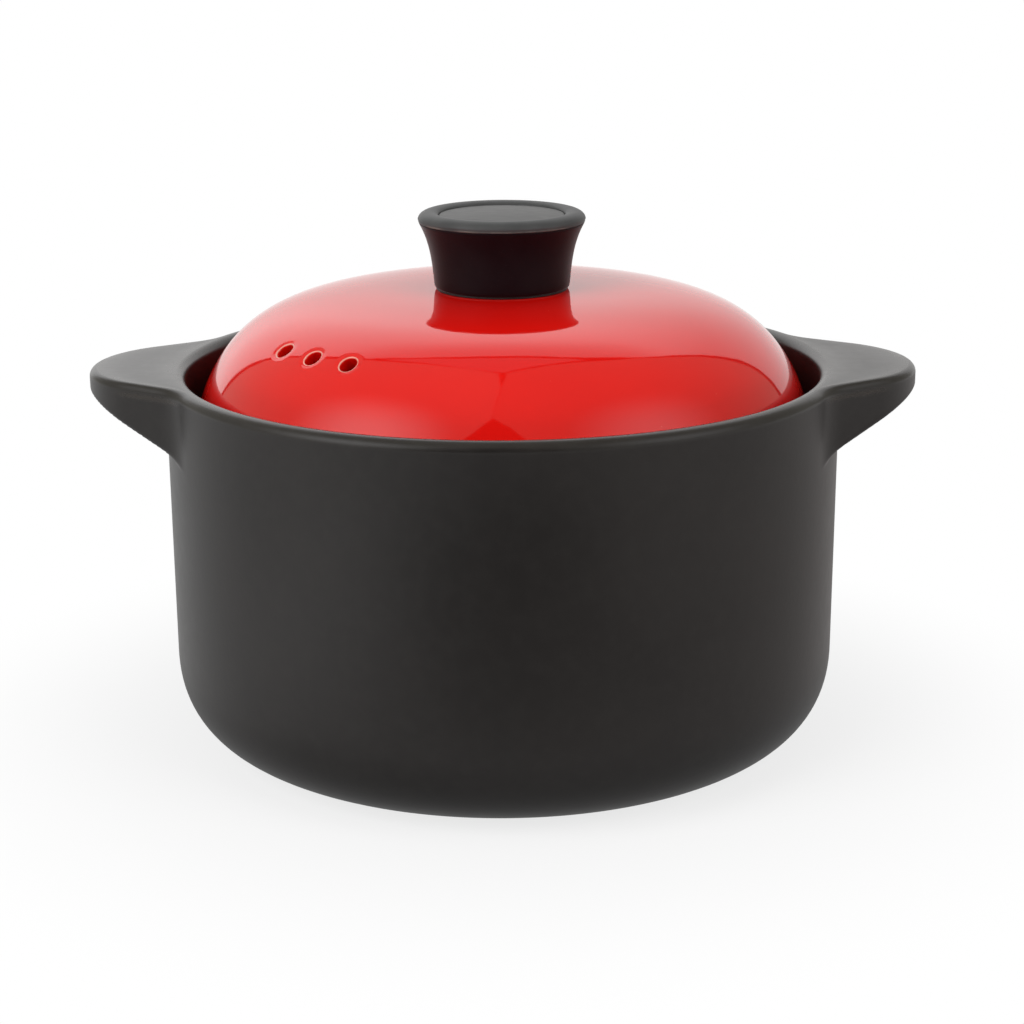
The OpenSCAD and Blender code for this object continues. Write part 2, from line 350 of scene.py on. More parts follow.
def pot_outside(ear, ear_share):
    """From the foot up the rounded corner and the wall or an ear to the rounded edge of the crest."""
    corner = squarish(FOOT_R, CORNER_RISE, CORNER_REACH - WALL_LEAN, CORNER_RISE, CORNER_POWER, 30)
    points = [(r, z, 0.0, 1.0 if z < BARE_H else 0.0) for r, z in corner]
    points += marked([(outer_reach(ear, RIM_Z - z), z) for z in WALL_ROWS])
    streak = ease((ear - STREAK_START) / STREAK_FADE) * ease((STREAK_END - ear) / STREAK_FADE)
    for depth in between(FINE_DEPTH, EAR_ROUND, 54):
        edge = STREAK_LEVEL * streak * ease(1 - abs(depth - EAR_ROUND - STREAK_DROP) / STREAK_W)
        points.append((outer_reach(ear, depth), RIM_Z - depth, edge, 0.0))
    for turn in between(8, 78, 10):
        lift = math.sin(math.radians(turn))
        depth = EAR_ROUND * (1 - lift)
        points.append((outer_reach(ear, depth), RIM_Z - depth, lift ** 3 * (1.0 - 0.6 * ear_share), 0.0))
    return points


def pot_crest(ear, ear_share):
    """Across the flat crest of the rim or of an ear, and down its rounded inner edge."""
    inner_round = RIM_T / 2 + (EAR_INNER_ROUND - RIM_T / 2) * ear_share
    crest_out = outer_reach(ear, 0)
    crest_in = GALLERY_R + inner_round
    points = []
    for i, r in enumerate(between(crest_out + 0.15, crest_in - 0.15, 10)):
        points.append((r, RIM_Z - CREST_SAG, 1.0 - ear_share * math.sin(math.pi * i / 9), 0.0))
    for turn in between(10, 90, 11):
        t = math.radians(turn)
        points.append((crest_in - inner_round * math.sin(t), RIM_Z - inner_round * (1 - math.cos(t)),
                       math.cos(t), 0.0))
    return points


def pot_inside():
    """Down the gallery, over the ledge and its lip, and down the inner wall to the middle of the floor."""
    lip_z = LEDGE_Z - LIP_H
    wall_z = lip_z - LIP_REACH
    points = marked([(GALLERY_R, z) for z in (RIM_Z - 8, RIM_Z - 12, RIM_Z - 17)])
    points += marked(arc(GALLERY_R - LEDGE_ROUND, LEDGE_Z + LEDGE_ROUND, LEDGE_ROUND, 0, -90, 5))
    points += marked(arc(LIP_R + LEDGE_ROUND, LEDGE_Z - LEDGE_ROUND, LEDGE_ROUND, 90, 180, 6), edge=0.4)
    points += marked([(LIP_R, lip_z + 0.6), (LIP_R + 0.2, lip_z - 0.2)])
    points += marked([(INNER_R - 0.3, wall_z + 0.3), (INNER_R, wall_z - 0.8)])
    points += marked([(INNER_R, z) for z in (70, 56, 44)])
    corner = squarish(INNER_R - INSIDE_CORNER, FLOOR_T + INSIDE_CORNER, INSIDE_CORNER, INSIDE_CORNER,
                      CORNER_POWER, 16)
    points += marked(reversed(corner))
    return points + marked([(r, FLOOR_T) for r in (50, 32, 14)])


def pot_section(angle):
    """The whole section of the pot at an angle, as (r, z, edge, bare): from the middle of its underside up
    the outside, over the rim and down the inside. edge is 1 on a crest, where the glaze thins, and more in a
    paler streak below each ear's edge. bare is 1 where the pot stands, on clay without glaze."""
    ear = angle_to_ear(angle)
    ear_share = ease((EAR_END - ear) / EAR_FADE)
    return pot_underside() + pot_outside(ear, ear_share) + pot_crest(ear, ear_share) + pot_inside()


def ring_angles(fine, coarse, half_width):
    """Angles round the pot in radians: fine steps within half_width of each ear's axis, coarse between."""
    near = between(-half_width, half_width, round(2 * half_width / fine) + 1)
    away = between(half_width, 180 - half_width, round((180 - 2 * half_width) / coarse) + 1)[1:-1]
    return [math.radians(a + turn) for turn in (0, 180) for a in near + away]


def make_pot():
    """The pot with its ears. Every section has as many points, so they join into rings."""
    skin = Skin(("edge", "bare"))
    angles = ring_angles(0.75, 1.5, 37.5)
    rings = []
    for row in zip(*(pot_section(a) for a in angles)):
        rings.append([skin.point(on_axis(a, r, z), edge=edge, bare=bare)
                      for a, (r, z, edge, bare) in zip(angles, row)])
    for ring, following in zip(rings, rings[1:]):
        skin.band(ring, following)
    skin.fan(rings[0], skin.point((0, 0, FOOT_RECESS)), flip=True)
    skin.fan(rings[-1], skin.point((0, 0, FLOOR_T)))
    return stands_for(skin.piece("pot"), "pot", "pot_body")


# The lid

def dome_point(t):
    """A point (r, z) of the dome's outer face: t is 0 at the crown and a quarter turn at the edge."""
    return Vector((LID_R * math.sin(t) ** (2 / DOME_SIDE_POWER),
                   LEDGE_Z + LID_RISE * math.cos(t) ** (2 / DOME_TOP_POWER)))


def dome_angle(r):
    """The value of t at which the outer face has a radius."""
    return math.asin((r / LID_R) ** (DOME_SIDE_POWER / 2))


def dome_normal(t):
    """The direction (r, z) that points out of the outer face."""
    step = math.radians(0.4)
    along = dome_point(min(t + step, math.pi / 2)) - dome_point(max(t - step, 0))
    return Vector((-along.y, along.x)).normalized()


def inner_dome_point(t):
    """A point (r, z) of the dome's inner face."""
    return dome_point(t) - LID_T * dome_normal(t)


def dome_steps(start, end, step):
    """Values of t from start to end, about a step of arc length apart."""
    fine = between(start, end, 400)
    walked = [0]
    for a, b in zip(fine, fine[1:]):
        walked.append(walked[-1] + (dome_point(b) - dome_point(a)).length)
    count = max(round(walked[-1] / step), 1)
    chosen, place = [], 0
    for i in range(count + 1):
        goal = walked[-1] * i / count
        while place < len(walked) - 2 and walked[place + 1] < goal:
            place += 1
        share = (goal - walked[place]) / (walked[place + 1] - walked[place])
        chosen.append(fine[place] + (fine[place + 1] - fine[place]) * share)
    return chosen


def dome_reach(t, distance):
    """The value of t that lies a signed distance along the dome from t, from a guess that is mended until
    its length is right."""
    end = t + distance / 200
    for _ in range(30):
        length = (dome_point(end) - dome_point(t)).length
        end = t + (end - t) * abs(distance) / length
    return end


def vent_azimuth(i):
    """The direction of a steam hole in degrees."""
    return VENT_AZIMUTH + (i - (VENT_COUNT - 1) / 2) * VENT_STEP


def lid_angles():
    """Angles of the lid's columns in degrees, and the index of each steam hole's first column."""
    patch = math.degrees(PATCH_HALF / VENT_DISTANCE)
    angles, starts = [], []
    for i in range(VENT_COUNT):
        middle = vent_azimuth(i)
        starts.append(len(angles))
        angles += between(middle - patch, middle + patch, PATCH_CELLS + 1)
        if i < VENT_COUNT - 1:
            angles += between(middle + patch, middle + VENT_STEP - patch, 4)[1:-1]
    around = angles[0] + 360
    angles += between(angles[-1], around, 148)[1:-1]
    return angles, starts


def glaze_depth(distance):
    """How far the glaze sinks near a steam hole, at a distance from its axis."""
    return VENT_DISH * (1 - ease((distance - VENT_R - VENT_LIP) / (VENT_DISH_R - VENT_R - VENT_LIP)))


def dome_lift(centre, up, side, down, u, v):
    """How far up from the plane at a steam hole's centre the dome's outer face lies at (u, v). The lift is
    searched for in halves, between a place inside the dome and one outside."""
    foot = centre + side * u + down * v

    def outside(lift):
        p = foot + up * lift
        r = math.hypot(p.x, p.y)
        return (r / LID_R) ** DOME_SIDE_POWER + (max(p.z - LEDGE_Z, 0) / LID_RISE) ** DOME_TOP_POWER - 1

    low, high = -4.0, 1.0
    for _ in range(40):
        middle = (low + high) / 2
        if outside(middle) > 0:
            high = middle
        else:
            low = middle
    return (low + high) / 2


def drill(skin, outer, inner, azimuth, vent_t):
    """One steam hole in a direction in degrees. outer and inner are the closed borders of the square that is
    left open for it on the dome's two faces, as vertices in the same order."""
    r, z = dome_point(vent_t)
    lean = dome_normal(vent_t)
    turn = math.radians(azimuth)
    out = Vector((math.cos(turn), math.sin(turn), 0))
    side = Vector((-math.sin(turn), math.cos(turn), 0))
    up = out * lean.x + Vector((0, 0, lean.y))
    down = side.cross(up)
    centre = out * r + Vector((0, 0, z))

    def flat_place(vert):
        away = vert.co / MM - centre
        return Vector((away.dot(side), away.dot(down)))

    def ring(borders, share, radius, sink, thin):
        """A ring of points: share is 0 on the border and 1 on a circle of that radius. sink gives how far
        they lie below the outer face, at a distance from the hole's axis."""
        made = []
        for border in borders:
            place = border.lerp(border.normalized() * radius, share)
            lift = dome_lift(centre, up, side, down, place.x, place.y)
            where = centre + side * place.x + down * place.y + up * (lift - sink(place.length))
            made.append(skin.point(where, thin=thin, bare=0.0))
        return made

    borders = [flat_place(vert) for vert in outer]
    inner_borders = [flat_place(vert) for vert in inner]
    full = VENT_R + VENT_LIP
    rings = [outer]
    for share in (0.2, 0.4, 0.6, 0.8):
        rings.append(ring(borders, share, full + 0.5, glaze_depth, 0.0))
    for wider, thin in ((0.5, 0.0), (0.3, 0.0), (0.15, 0.05), (0, 0.3)):
        rings.append(ring(borders, 1, full + wider, glaze_depth, thin))
    for turned in (15, 30, 45, 60, 75, 90):
        a = math.radians(turned)
        rings.append(ring(borders, 1, full - VENT_LIP * math.sin(a),
                          lambda _, a=a: VENT_DISH + VENT_LIP * (1 - math.cos(a)),
                          1.0 if turned < 50 else 0.35))
    for depth in between(VENT_DISH + VENT_LIP + 0.35, LID_T - 0.3, 5):
        rings.append(ring(borders, 1, VENT_R, lambda _, depth=depth: depth, 0.0))
    rings.append(ring(borders, 1, VENT_R + 0.1, lambda _: LID_T - 0.08, 0.5))
    rings.append(ring(borders, 1, VENT_R + 0.35, lambda _: LID_T, 0.2))
    for share in (0.75, 0.5, 0.25):
        rings.append(ring(inner_borders, share, VENT_R + 0.35, lambda _: LID_T, 0.0))
    rings.append(inner)
    for before, after in zip(rings, rings[1:]):
        skin.band(before, after)


def lid_top(patch):
    """The hole for the screw, the knob's flat seat and the dome down to the lid's edge, as (r, z, bare), and
    the row at which the patch of even rows round the steam holes starts."""
    seat = [(LID_HOLE_R, SEAT_Z - 1, 0.0), (LID_HOLE_R, SEAT_Z - LID_HOLE_EDGE, 0.0),
            (LID_HOLE_R + LID_HOLE_EDGE, SEAT_Z, 0.0), (8, SEAT_Z, 0.0), (14, SEAT_Z, 0.0)]
    edge_t = math.acos((LID_EDGE_ROUND / LID_RISE) ** (DOME_TOP_POWER / 2))
    above = dome_steps(dome_angle(SEAT_R), patch[0], 2.2)[:-1]
    below = dome_steps(patch[-1], edge_t, 1.3)[1:-1]
    return seat + [(*dome_point(t), 0.0) for t in above + patch + below], len(seat) + len(above)


def lid_skirt():
    """The lid's rounded edge, its bare seat on the ledge and the bare skirt, as (r, z, bare)."""
    edge = arc(LID_R - LID_EDGE_ROUND, LEDGE_Z + LID_EDGE_ROUND, LID_EDGE_ROUND, 0, -90, 6)
    points = [(r, z, 1.0 if z < LEDGE_Z + 0.05 else 0.0) for r, z in edge]
    points += [(r, LEDGE_Z, 1.0) for r in between(LID_R - LID_EDGE_ROUND - 1, SKIRT_R + 0.5, 3)]
    points += [(SKIRT_R, LEDGE_Z - 0.5, 1.0)]
    for centre_r, start in ((SKIRT_R - LID_EDGE_ROUND, 0), (SKIRT_IN_R + LID_EDGE_ROUND, -90)):
        lower = arc(centre_r, SKIRT_Z + LID_EDGE_ROUND, LID_EDGE_ROUND, start, start - 90, 5)
        points += [(r, z, 1.0) for r, z in lower]
    return points


def lid_inside(patch):
    """Up the inside of the skirt and the dome to the hole for the screw, as (r, z, bare), and the row at
    which the patch starts."""
    last_t = max(t for t in between(0.5, 1.5, 400) if inner_dome_point(t).x < SKIRT_IN_R - 1.2)
    low = inner_dome_point(last_t).y
    first_t = min(t for t in between(0.01, 1.0, 400) if inner_dome_point(t).x > INNER_FLAT_R + 1.5
                  and inner_dome_point(t).y < INNER_FLAT_Z - 0.08)
    skirt = [(SKIRT_IN_R, z, 0.0) for z in between(SKIRT_Z + 2.5, low - 2.5, 4)]
    skirt += [(SKIRT_IN_R - 0.25, low - 1.0, 0.0)]
    below = dome_steps(patch[-1], last_t, 2.5)[1:]
    above = dome_steps(first_t, patch[0], 3)[:-1]
    dome = [(*inner_dome_point(t), 0.0) for t in reversed(above + patch + below)]
    flat = [(INNER_FLAT_R, INNER_FLAT_Z, 0.0), (7, INNER_FLAT_Z, 0.0),
            (LID_HOLE_R + LID_HOLE_EDGE, INNER_FLAT_Z, 0.0),
            (LID_HOLE_R, INNER_FLAT_Z + LID_HOLE_EDGE, 0.0), (LID_HOLE_R, INNER_FLAT_Z + 2, 0.0)]
    return skirt + dome + flat, len(skirt) + len(below)


def square_border(rings, first_row, start, flip):
    """The vertices round an open square, from its corner nearest the crown. flip is for the inner face,
    where the rows run up to the crown."""
    end = start + PATCH_CELLS
    rows = [first_row + (PATCH_CELLS - i if flip else i) for i in range(PATCH_CELLS + 1)]
    way = [(rows[0], start + i) for i in range(PATCH_CELLS)]
    way += [(rows[i], end) for i in range(PATCH_CELLS)]
    way += [(rows[-1], end - i) for i in range(PATCH_CELLS)]
    way += [(rows[PATCH_CELLS - i], start) for i in range(PATCH_CELLS)]
    return [rings[row][column] for row, column in way]


def make_lid():
    """The dome with its skirt. A square is left open in both faces at each steam hole, and drilled."""
    vent_t = dome_angle(VENT_DISTANCE)
    patch = between(dome_reach(vent_t, -PATCH_HALF), dome_reach(vent_t, PATCH_HALF), PATCH_CELLS + 1)
    top, outer_row = lid_top(patch)
    skirt = lid_skirt()
    inside, inside_row = lid_inside(patch)
    inner_row = len(top) + len(skirt) + inside_row

    skin = Skin(("thin", "bare"))
    angles, starts = lid_angles()
    rings = [[skin.point(on_axis(math.radians(a), r, z), thin=0.0, bare=bare) for a in angles]
             for r, z, bare in top + skirt + inside]
    open_rows = {first + i for first in (outer_row, inner_row) for i in range(PATCH_CELLS)}
    open_columns = {start + i for start in starts for i in range(PATCH_CELLS)}
    for row, ring in enumerate(rings):
        skin.band(ring, rings[(row + 1) % len(rings)], open_columns if row in open_rows else ())

    for i, start in enumerate(starts):
        outer = square_border(rings, outer_row, start, False)
        inner = square_border(rings, inner_row, start, True)
        drill(skin, outer, inner, vent_azimuth(i), vent_t)
    return stands_for(skin.piece("domed_lid"), "lid", "lid")


# The knob and its fastening

def knob_radius(share):
    """The knob's radius at a share of its height: a slight cone that flares out towards the head."""
    return KNOB_BASE_R + KNOB_CONE * share + KNOB_FLARE * share ** KNOB_FLARE_POWER


def make_knob_body():
    """The flared body, with a blind hole below for the insert and a boss on top for the plate."""
    base_z, ring_z, boss_z = BODY_LOW.z, RING_LOW.z, BODY_HIGH.z
    boss_r = PLATE_HIGH.x
    height = ring_z - base_z
    hole_r = INSERT_HIGH.x + FIT_GAP
    hole_z = INSERT_HIGH.z + KNOB_HOLE_SPARE
    edge = KNOB_EDGE_ROUND
    section = [(0, hole_z), (hole_r - 0.3, hole_z), (hole_r, hole_z - 0.3), (hole_r, base_z + 0.4),
               (hole_r + 0.4, base_z), (12, base_z)]
    section += arc(KNOB_BASE_R - edge, base_z + edge, edge, -90, -8, 7)
    for share in between(0.06, 0.985, 26):
        section.append((knob_radius(share), base_z + height * share))
    head_r = knob_radius(1)
    section += [(head_r - 0.12, ring_z - 0.08), (head_r - 0.5, ring_z), (boss_r + 1, ring_z),
                (boss_r, ring_z), (boss_r, boss_z - 0.1), (boss_r - 0.1, boss_z), (10, boss_z), (0, boss_z)]
    return stands_for(lathe("flared_knob", section), "lid", "knob_body")


def make_grip_ring():
    """The soft ring has a round top that leans outwards, and a fine parting line near its lower edge."""
    ring_z, top_z, ring_r = RING_LOW.z, RING_HIGH.z, RING_HIGH.x
    boss_r = PLATE_HIGH.x + FIT_GAP
    crest_r = ring_r - RING_CREST_SHARE * RING_W
    lip_z = ring_z + RING_LIP_SHARE * (top_z - ring_z)
    edge_z = ring_z + RING_EDGE_H
    section = [(boss_r, ring_z), (ring_r - 1.2, ring_z)]
    section += arc(ring_r - 0.45, ring_z + 0.32, 0.3, -80, 20, 6)
    section += [(ring_r - 0.2, ring_z + 0.55)]
    for turn in between(4, 90, 26):
        a = math.radians(turn)
        section.append((crest_r + (ring_r - crest_r) * math.cos(a),
                        edge_z + (top_z - edge_z) * math.sin(a)))
    for turn in between(96, 172, 16):
        a = math.radians(turn)
        section.append((crest_r + (crest_r - boss_r - 0.05) * math.cos(a),
                        lip_z + (top_z - lip_z) * math.sin(a)))
    section += [(boss_r + 0.06, lip_z - 0.1), (boss_r, lip_z - 0.4)]

    def seam(r, z):
        """The mark is 1 on the outer parting line and 0 elsewhere."""
        return {"seam": 1.0 if z < ring_z + RING_SEAM_H and r > boss_r + RING_W / 2 else 0.0}

    ring = lathe("soft_grip_ring", section, marks=("seam",), marking=seam)
    return stands_for(ring, "lid", "knob_grip_ring")


def make_top_plate():
    """The crowned disc on top of the knob, with a rolled edge."""
    low, high, radius = PLATE_LOW.z, PLATE_HIGH.z, PLATE_HIGH.x
    side_z = low + PLATE_EDGE_H
    roll_z = side_z - PLATE_ROUND
    section = [(0, low), (radius - 0.2, low), (radius, low + 0.2), (radius, roll_z)]
    section += arc(radius - PLATE_ROUND, roll_z, PLATE_ROUND, 12, 80, 7)
    for share in between(0.965, 0.04, 24):
        section.append((radius * share, side_z + (high - side_z) * (1 - share ** 2)))
    section.append((0, high))
    return stands_for(lathe("crowned_plate", section), "lid", "knob_top_plate")


def make_washer(name, low, high, hole_r, rounding, body, node):
    """A flat ring with rounded edges."""
    radius = high.x
    section = arc(radius - rounding, low.z + rounding, rounding, -90, 0, 5)
    section += arc(radius - rounding, high.z - rounding, rounding, 0, 90, 5)
    section += arc(hole_r + rounding, high.z - rounding, rounding, 90, 180, 5)
    section += arc(hole_r + rounding, low.z + rounding, rounding, 180, 270, 5)
    return stands_for(lathe(name, section, steps=96), body, node)


# Materials

class Wire:
    """A value in a material, on which sums are written as Python expressions."""

    def __init__(self, finish, socket):
        self.finish = finish
        self.socket = socket

    def _sum(self, operation, first, second):
        return self.finish.node("ShaderNodeMath", {"operation": operation}, {0: first, 1: second})

    def __add__(self, other):
        return self._sum("ADD", self, other)

    __radd__ = __add__

    def __sub__(self, other):
        return self._sum("SUBTRACT", self, other)

    def __rsub__(self, other):
        return self._sum("SUBTRACT", other, self)

    def __mul__(self, other):
        return self._sum("MULTIPLY", self, other)

    __rmul__ = __mul__

    def above(self, start, end):
        """0 where the value is under start, 1 over end and a smooth step between."""
        return self.finish.node("ShaderNodeMapRange", {"interpolation_type": "SMOOTHSTEP"},
                                {"Value": self, "From Min": start, "From Max": end}, "Result")


class Finish:
    """A material under construction."""

    def __init__(self, name):
        self.material = bpy.data.materials.new(name)
        self.material.use_nodes = True
        self.tree = self.material.node_tree
        self.tree.nodes.clear()

    def node(self, kind, settings=None, inputs=None, output=0):
        """A node with its settings and with the values or links of its sockets, as one of its outputs."""
        made = self.tree.nodes.new(kind)
        for key, value in (settings or {}).items():
            setattr(made, key, value)
        for key, value in (inputs or {}).items():
            if isinstance(value, Wire):
                self.tree.links.new(value.socket, made.inputs[key])
            else:
                made.inputs[key].default_value = value
        return Wire(self, made.outputs[output]) if made.outputs else None

    def place(self):
        """Where a point of the piece is, in millimetres."""
        spot = self.node("ShaderNodeTexCoord", output="Object")
        return self.node("ShaderNodeVectorMath", {"operation": "SCALE"}, {0: spot, "Scale": 1 / MM})

    def stretched(self, place, factors):
        """The same place with its three directions drawn out or pressed together."""
        return self.node("ShaderNodeVectorMath", {"operation": "MULTIPLY"}, {0: place, 1: factors})

    def cloud(self, place, size, detail, roughness=0.5):
        """Noise from 0 to 1 with features of about that size in millimetres."""
        return self.node("ShaderNodeTexNoise", None,
                         {"Vector": place, "Scale": 1 / size, "Detail": detail, "Roughness": roughness})

    def specks(self, place, size, radius):
        """1 in round specks about size apart, with a radius as a share of that, and 0 elsewhere."""
        far = self.node("ShaderNodeTexVoronoi", None,
                        {"Vector": place, "Scale": 1 / size, "Randomness": 1.0}, "Distance")
        return 1 - far.above(radius * 0.5, radius)

    def mark(self, name):
        """A value that the mesh holds at each of its points."""
        return self.node("ShaderNodeAttribute", {"attribute_name": name}, None, "Fac")

    def blend(self, share, first, second):
        """A mix of two colours."""
        def colour(value):
            return value if isinstance(value, Wire) else (*value, 1.0)
        return self.node("ShaderNodeMix", {"data_type": "RGBA"},
                         {0: share, 6: colour(first), 7: colour(second)}, 2)

    def relief(self, height, depth):
        """A bumped normal from a height from 0 to 1, over a depth in millimetres."""
        return self.node("ShaderNodeBump", None,
                         {"Height": height, "Distance": depth * MM, "Strength": 1.0})

    def done(self, colour, roughness, normal, **constants):
        """The finished material. constants are other sockets of its shader, with _ for a space."""
        inputs = {"Base Color": colour, "Roughness": roughness, "Normal": normal}
        inputs.update({key.replace("_", " "): value for key, value in constants.items()})
        return self.shown(self.node("ShaderNodeBsdfPrincipled", None, inputs))

    def glow(self, level, tint=(1.0, 1.0, 1.0)):
        """Light of one level and tint, as a shader."""
        return self.node("ShaderNodeEmission", None, {"Color": (*tint, 1.0), "Strength": level})

    def mixed(self, share, first, second):
        """A mix of two shaders."""
        return self.node("ShaderNodeMixShader", None, {0: share, 1: first, 2: second})

    def shown(self, shader):
        """The material, with this shader on its surface."""
        self.node("ShaderNodeOutputMaterial", None, {"Surface": shader})
        return self.material


def charcoal_glaze():
    """The pot's dark glaze, paler where it runs thin on edges, paler too in a streak below each ear, and the
    bare clay below.
    """
    finish = Finish("charcoal_glaze")
    place = finish.place()
    edge = finish.mark("edge")
    bare = finish.mark("bare")
    drift = finish.cloud(place, 38, 3)
    mottle = finish.cloud(place, 4, 4, 0.6)
    colour = finish.blend(drift.above(0.3, 0.75), (0.0078, 0.0060, 0.0053), (0.0108, 0.0086, 0.0077))
    colour = finish.blend(mottle.above(0.35, 0.8) * 0.35, colour, (0.018, 0.0155, 0.014))
    colour = finish.blend(edge * (0.35 + 0.3 * mottle), colour, (0.026, 0.021, 0.017))
    grit = finish.cloud(place, 1.6, 5)
    clay = finish.blend(grit.above(0.3, 0.7), (0.20, 0.105, 0.060), (0.30, 0.17, 0.10))
    border = (bare + (mottle - 0.5) * 0.5).above(0.45, 0.6)
    colour = finish.blend(border, colour, clay)
    pits = finish.specks(place, 3.4, 0.055)
    roughness = 0.33 + (drift - 0.5) * 0.08 + (mottle - 0.5) * 0.08 - edge * 0.06 + border * 0.4
    height = finish.cloud(place, 1.5, 3, 0.5) * 0.7 - pits * 0.5
    normal = finish.relief(height, 0.022)
    return finish.done(colour, roughness, normal, IOR=1.5)


def red_glaze():
    """The lid's glaze, cream where it runs thin round the steam holes, and its bare seat."""
    finish = Finish("red_glaze")
    place = finish.place()
    thin = finish.mark("thin")
    bare = finish.mark("bare")
    drift = finish.cloud(place, 42, 2)
    grain = finish.cloud(place, 2.2, 3)
    colour = finish.blend(drift.above(0.25, 0.8), (0.75, 0.0046, 0.0024), (0.80, 0.0068, 0.0036))
    dust = finish.specks(place, 5.2, 0.03)
    colour = finish.blend(dust * 0.5, colour, (0.85, 0.30, 0.22))
    cream = finish.blend(grain, (0.80, 0.26, 0.19), (0.84, 0.38, 0.30))
    colour = finish.blend((thin + (grain - 0.5) * 0.5).above(0.3, 0.75), colour, cream)
    clay = finish.blend(grain.above(0.3, 0.7), (0.55, 0.40, 0.27), (0.66, 0.50, 0.36))
    border = (bare + (grain - 0.5) * 0.4).above(0.45, 0.6)
    colour = finish.blend(border, colour, clay)
    roughness = 0.045 + grain * 0.02 + thin * 0.2 + border * 0.6
    waves = finish.cloud(place, 16, 1) * 0.8 + finish.cloud(place, 5, 1) * 0.12
    normal = finish.relief(waves, 0.08)
    return finish.done(colour, roughness, normal, IOR=1.5)


def maroon_plastic():
    """The knob's moulded plastic, with fine flecks and upright scratches."""
    finish = Finish("maroon_phenolic")
    place = finish.place()
    drift = finish.cloud(place, 14, 3)
    grain = finish.cloud(place, 0.7, 4, 0.65)
    flecks = finish.specks(place, 2.2, 0.10)
    colour = finish.blend(drift.above(0.3, 0.7), (0.0026, 0.0015, 0.0029), (0.0048, 0.0032, 0.0046))
    colour = finish.blend(flecks * 0.3, colour, (0.028, 0.022, 0.024))
    roughness = 0.46 + (grain - 0.5) * 0.2 + (drift - 0.5) * 0.1
    scratches = finish.cloud(finish.stretched(place, (1.0, 1.0, 0.08)), 1.1, 2)
    normal = finish.relief(grain * 0.7 + scratches * 0.2 - flecks * 0.3, 0.020)
    return finish.done(colour, roughness, normal, IOR=1.25, Sheen_Weight=0.32, Sheen_Roughness=0.30)


def soft_grey():
    """The ring's soft skin, paler along its parting line."""
    finish = Finish("soft_grey_ring")
    place = finish.place()
    seam = finish.mark("seam")
    grain = finish.cloud(place, 0.45, 4, 0.7)
    drift = finish.cloud(place, 9, 3)
    colour = finish.blend(drift.above(0.3, 0.7), (0.042, 0.043, 0.044), (0.055, 0.056, 0.056))
    colour = finish.blend((seam * (0.4 + drift)).above(0.75, 1.1) * 0.8, colour, (0.15, 0.132, 0.112))
    roughness = 0.52 + (grain - 0.5) * 0.12
    normal = finish.relief(grain, 0.018)
    return finish.done(colour, roughness, normal, IOR=1.42)


def satin_plate():
    """The plate's plastic, with fine rub marks from left to right."""
    finish = Finish("satin_grey_plate")
    place = finish.place()
    rub = finish.cloud(finish.stretched(place, (0.12, 1.0, 1.0)), 0.6, 3)
    drift = finish.cloud(place, 8, 2)
    colour = finish.blend(drift, (0.046, 0.046, 0.046), (0.060, 0.060, 0.059))
    roughness = 0.48 + (rub - 0.5) * 0.2
    normal = finish.relief(rub, 0.006)
    return finish.done(colour, roughness, normal, IOR=1.38)


def turned_metal(name, colour, rough):
    """Metal with fine lines round it and a few stains."""
    finish = Finish(name)
    place = finish.place()
    lines = finish.cloud(finish.stretched(place, (1.0, 1.0, 6.0)), 1.2, 4)
    stain = finish.cloud(place, 3, 3)
    shade = finish.blend(stain.above(0.4, 0.8), colour, tuple(0.7 * c for c in colour))
    normal = finish.relief(lines, 0.01)
    return finish.done(shade, rough + (lines - 0.5) * 0.15, normal, Metallic=1.0)


def silicone(name, dark, light):
    """Matt silicone with paler patches."""
    finish = Finish(name)
    place = finish.place()
    bloom = finish.cloud(place, 3, 3)
    grain = finish.cloud(place, 0.4, 3)
    colour = finish.blend(bloom.above(0.35, 0.75), dark, light)
    return finish.done(colour, 0.55 + (grain - 0.5) * 0.15, finish.relief(grain, 0.01), IOR=1.41)


def dress(piece, material):
    """The piece gets one material and no other."""
    piece.data.materials.clear()
    piece.data.materials.append(material)


def recover(node, material):
    """A new finish for a node of the frame, in its own slots."""
    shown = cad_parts[node]
    if not shown.material_slots:
        shown.data.materials.append(material)
    for slot in shown.material_slots:
        slot.material = material


# Camera, floor and light

CAMERA_PLACE = (2.51, -674.86, 256.62)
CAMERA_PITCH = 15.763
CAMERA_ROLL = -0.314
CAMERA_LENS = 82.345

# The light tent and the paper in metres, the mesh cells between two directions of a cloth, and the tint of
# the brightest white
LIGHT_Z = 0.12
TENT_R = 2.2
ROOM_R = 2.5
FLOOR_R = 6
CLOTH_CELLS = 8
WARM_WHITE = (1.0, 0.99, 0.98)

# Lamps: distances and sizes in metres, and powers in watts
SIDE_LAMP_R = 2.3
SIDE_LAMP_SIZE = 1.7
LEFT_LAMP = 36
RIGHT_LAMP = 21.5
TOP_LAMP_R = 2.0
TOP_LAMP_SIZE = 2.4
TOP_LAMP = 12


def make_camera():
    """The view of the photograph."""
    data = bpy.data.cameras.new("camera")
    data.lens = CAMERA_LENS
    data.sensor_width = 36
    data.clip_start = 0.05
    data.clip_end = 50
    camera = in_scene("camera", data)
    tilt = Euler((math.radians(90 - CAMERA_PITCH), 0, 0)).to_matrix()
    roll = Matrix.Rotation(math.radians(CAMERA_ROLL), 3, "Z")
    camera.matrix_world = Matrix.Translation(Vector(CAMERA_PLACE) * MM) @ (tilt @ roll).to_4x4()
    bpy.context.scene.camera = camera


def at(azimuth, elevation, distance):
    """A place in a direction from the lid, in degrees: azimuth 0 is +X and 90 is behind the pot."""
    turn, lift = math.radians(azimuth), math.radians(elevation)
    flat = distance * math.cos(lift)
    return Vector((flat * math.cos(turn), flat * math.sin(turn), LIGHT_Z + distance * math.sin(lift)))


